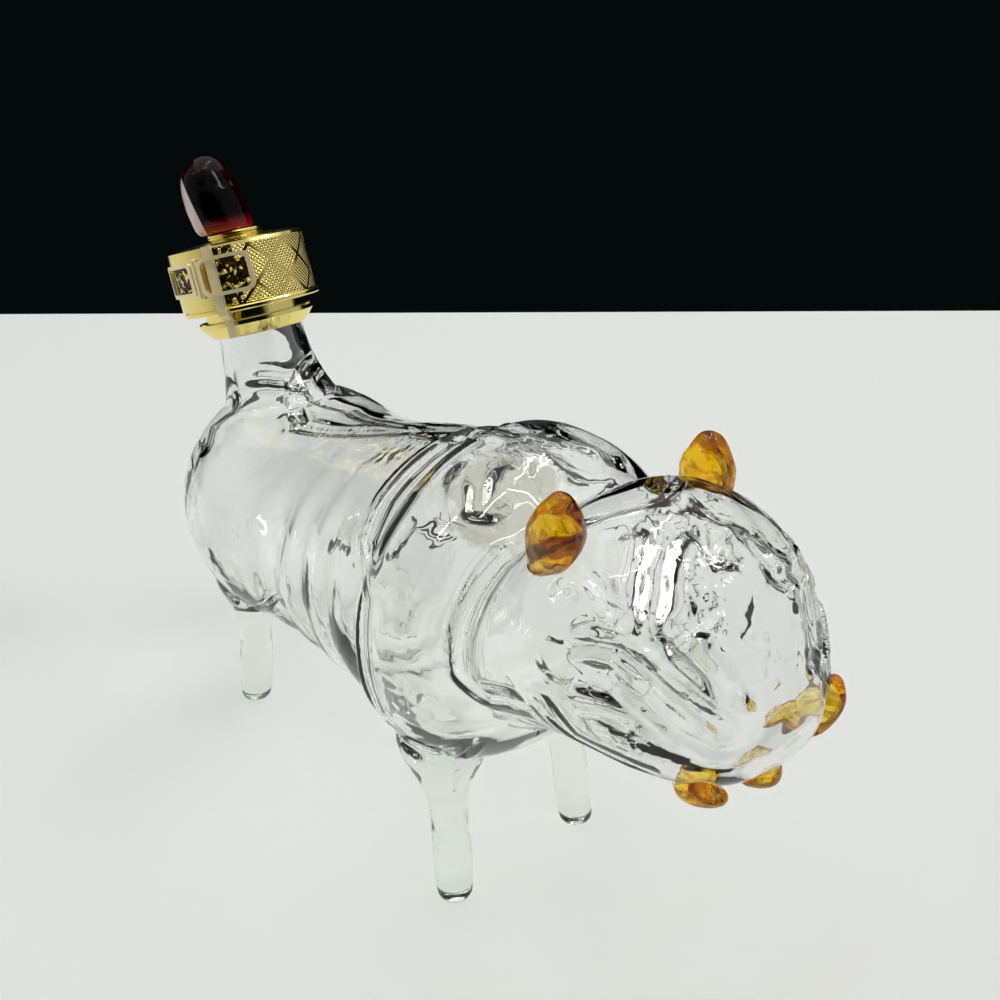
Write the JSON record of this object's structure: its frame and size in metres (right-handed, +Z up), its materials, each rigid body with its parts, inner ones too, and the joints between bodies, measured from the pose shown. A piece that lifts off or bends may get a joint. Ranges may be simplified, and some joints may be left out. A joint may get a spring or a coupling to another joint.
{
  "type": "figural liquor decanter",
  "caption": "Hollow blown-glass decanter shaped as a stocky tusked animal, with glass legs, amber ears and a gilt screw cap on a bent-up neck at the tail.",
  "frame": {"origin": "centre of the bounding box's base, on the plane the four feet stand on", "axes": "+X towards the animal's head, +Y towards the animal's left side, +Z up"},
  "size_m": [0.2276, 0.0822, 0.1662],
  "materials": {
    "clear_glass": "clear flameworked glass, glossy",
    "amber_glass": "translucent amber glass, glossy",
    "garnet_glass": "translucent dark garnet-red glass, glossy",
    "gilt_metal": "bright gold plating, polished, engraved on the cap's drum",
    "plain_brass": "plain turned brass",
    "cement": "matt bottle cement",
    "liner_plastic": "moulded plastic",
    "seal_cork": "fine cork disc"
  },
  "bodies": {
    "bottle": {"glass_body": "clear_glass", "leg_front_left": "clear_glass", "leg_front_right": "clear_glass", "leg_rear_left": "clear_glass", "leg_rear_right": "clear_glass", "ear_left": "amber_glass", "ear_right": "amber_glass", "tusk_left": "amber_glass", "tusk_right": "amber_glass", "lip_nub": "amber_glass", "neck_collar": "gilt_metal", "collar_cement": "cement"},
    "seal": {"cap_seal": "seal_cork"},
    "cap": {"cap_shell": "gilt_metal", "cap_liner": "liner_plastic", "finial_bezel": "gilt_metal", "finial": "garnet_glass", "finial_stud": "plain_brass", "stud_nut": "plain_brass", "strap_plate": "gilt_metal", "hasp_strip": "gilt_metal", "buckle_frame": "gilt_metal", "keeper_frame": "gilt_metal", "buckle_pin": "gilt_metal"}
  },
  "joints": [
    {"name": "cap_lift", "type": "slide", "parent": "bottle", "child": "seal", "axis": [-0.3173, 0, 0.9483], "range_m": [0, 0.04]},
    {"name": "cap_turn", "type": "hinge", "parent": "seal", "child": "cap", "pos_m": [-0.09409, 0, 0.13601], "axis": [-0.3173, 0, 0.9483], "continuous": true}
  ]
}
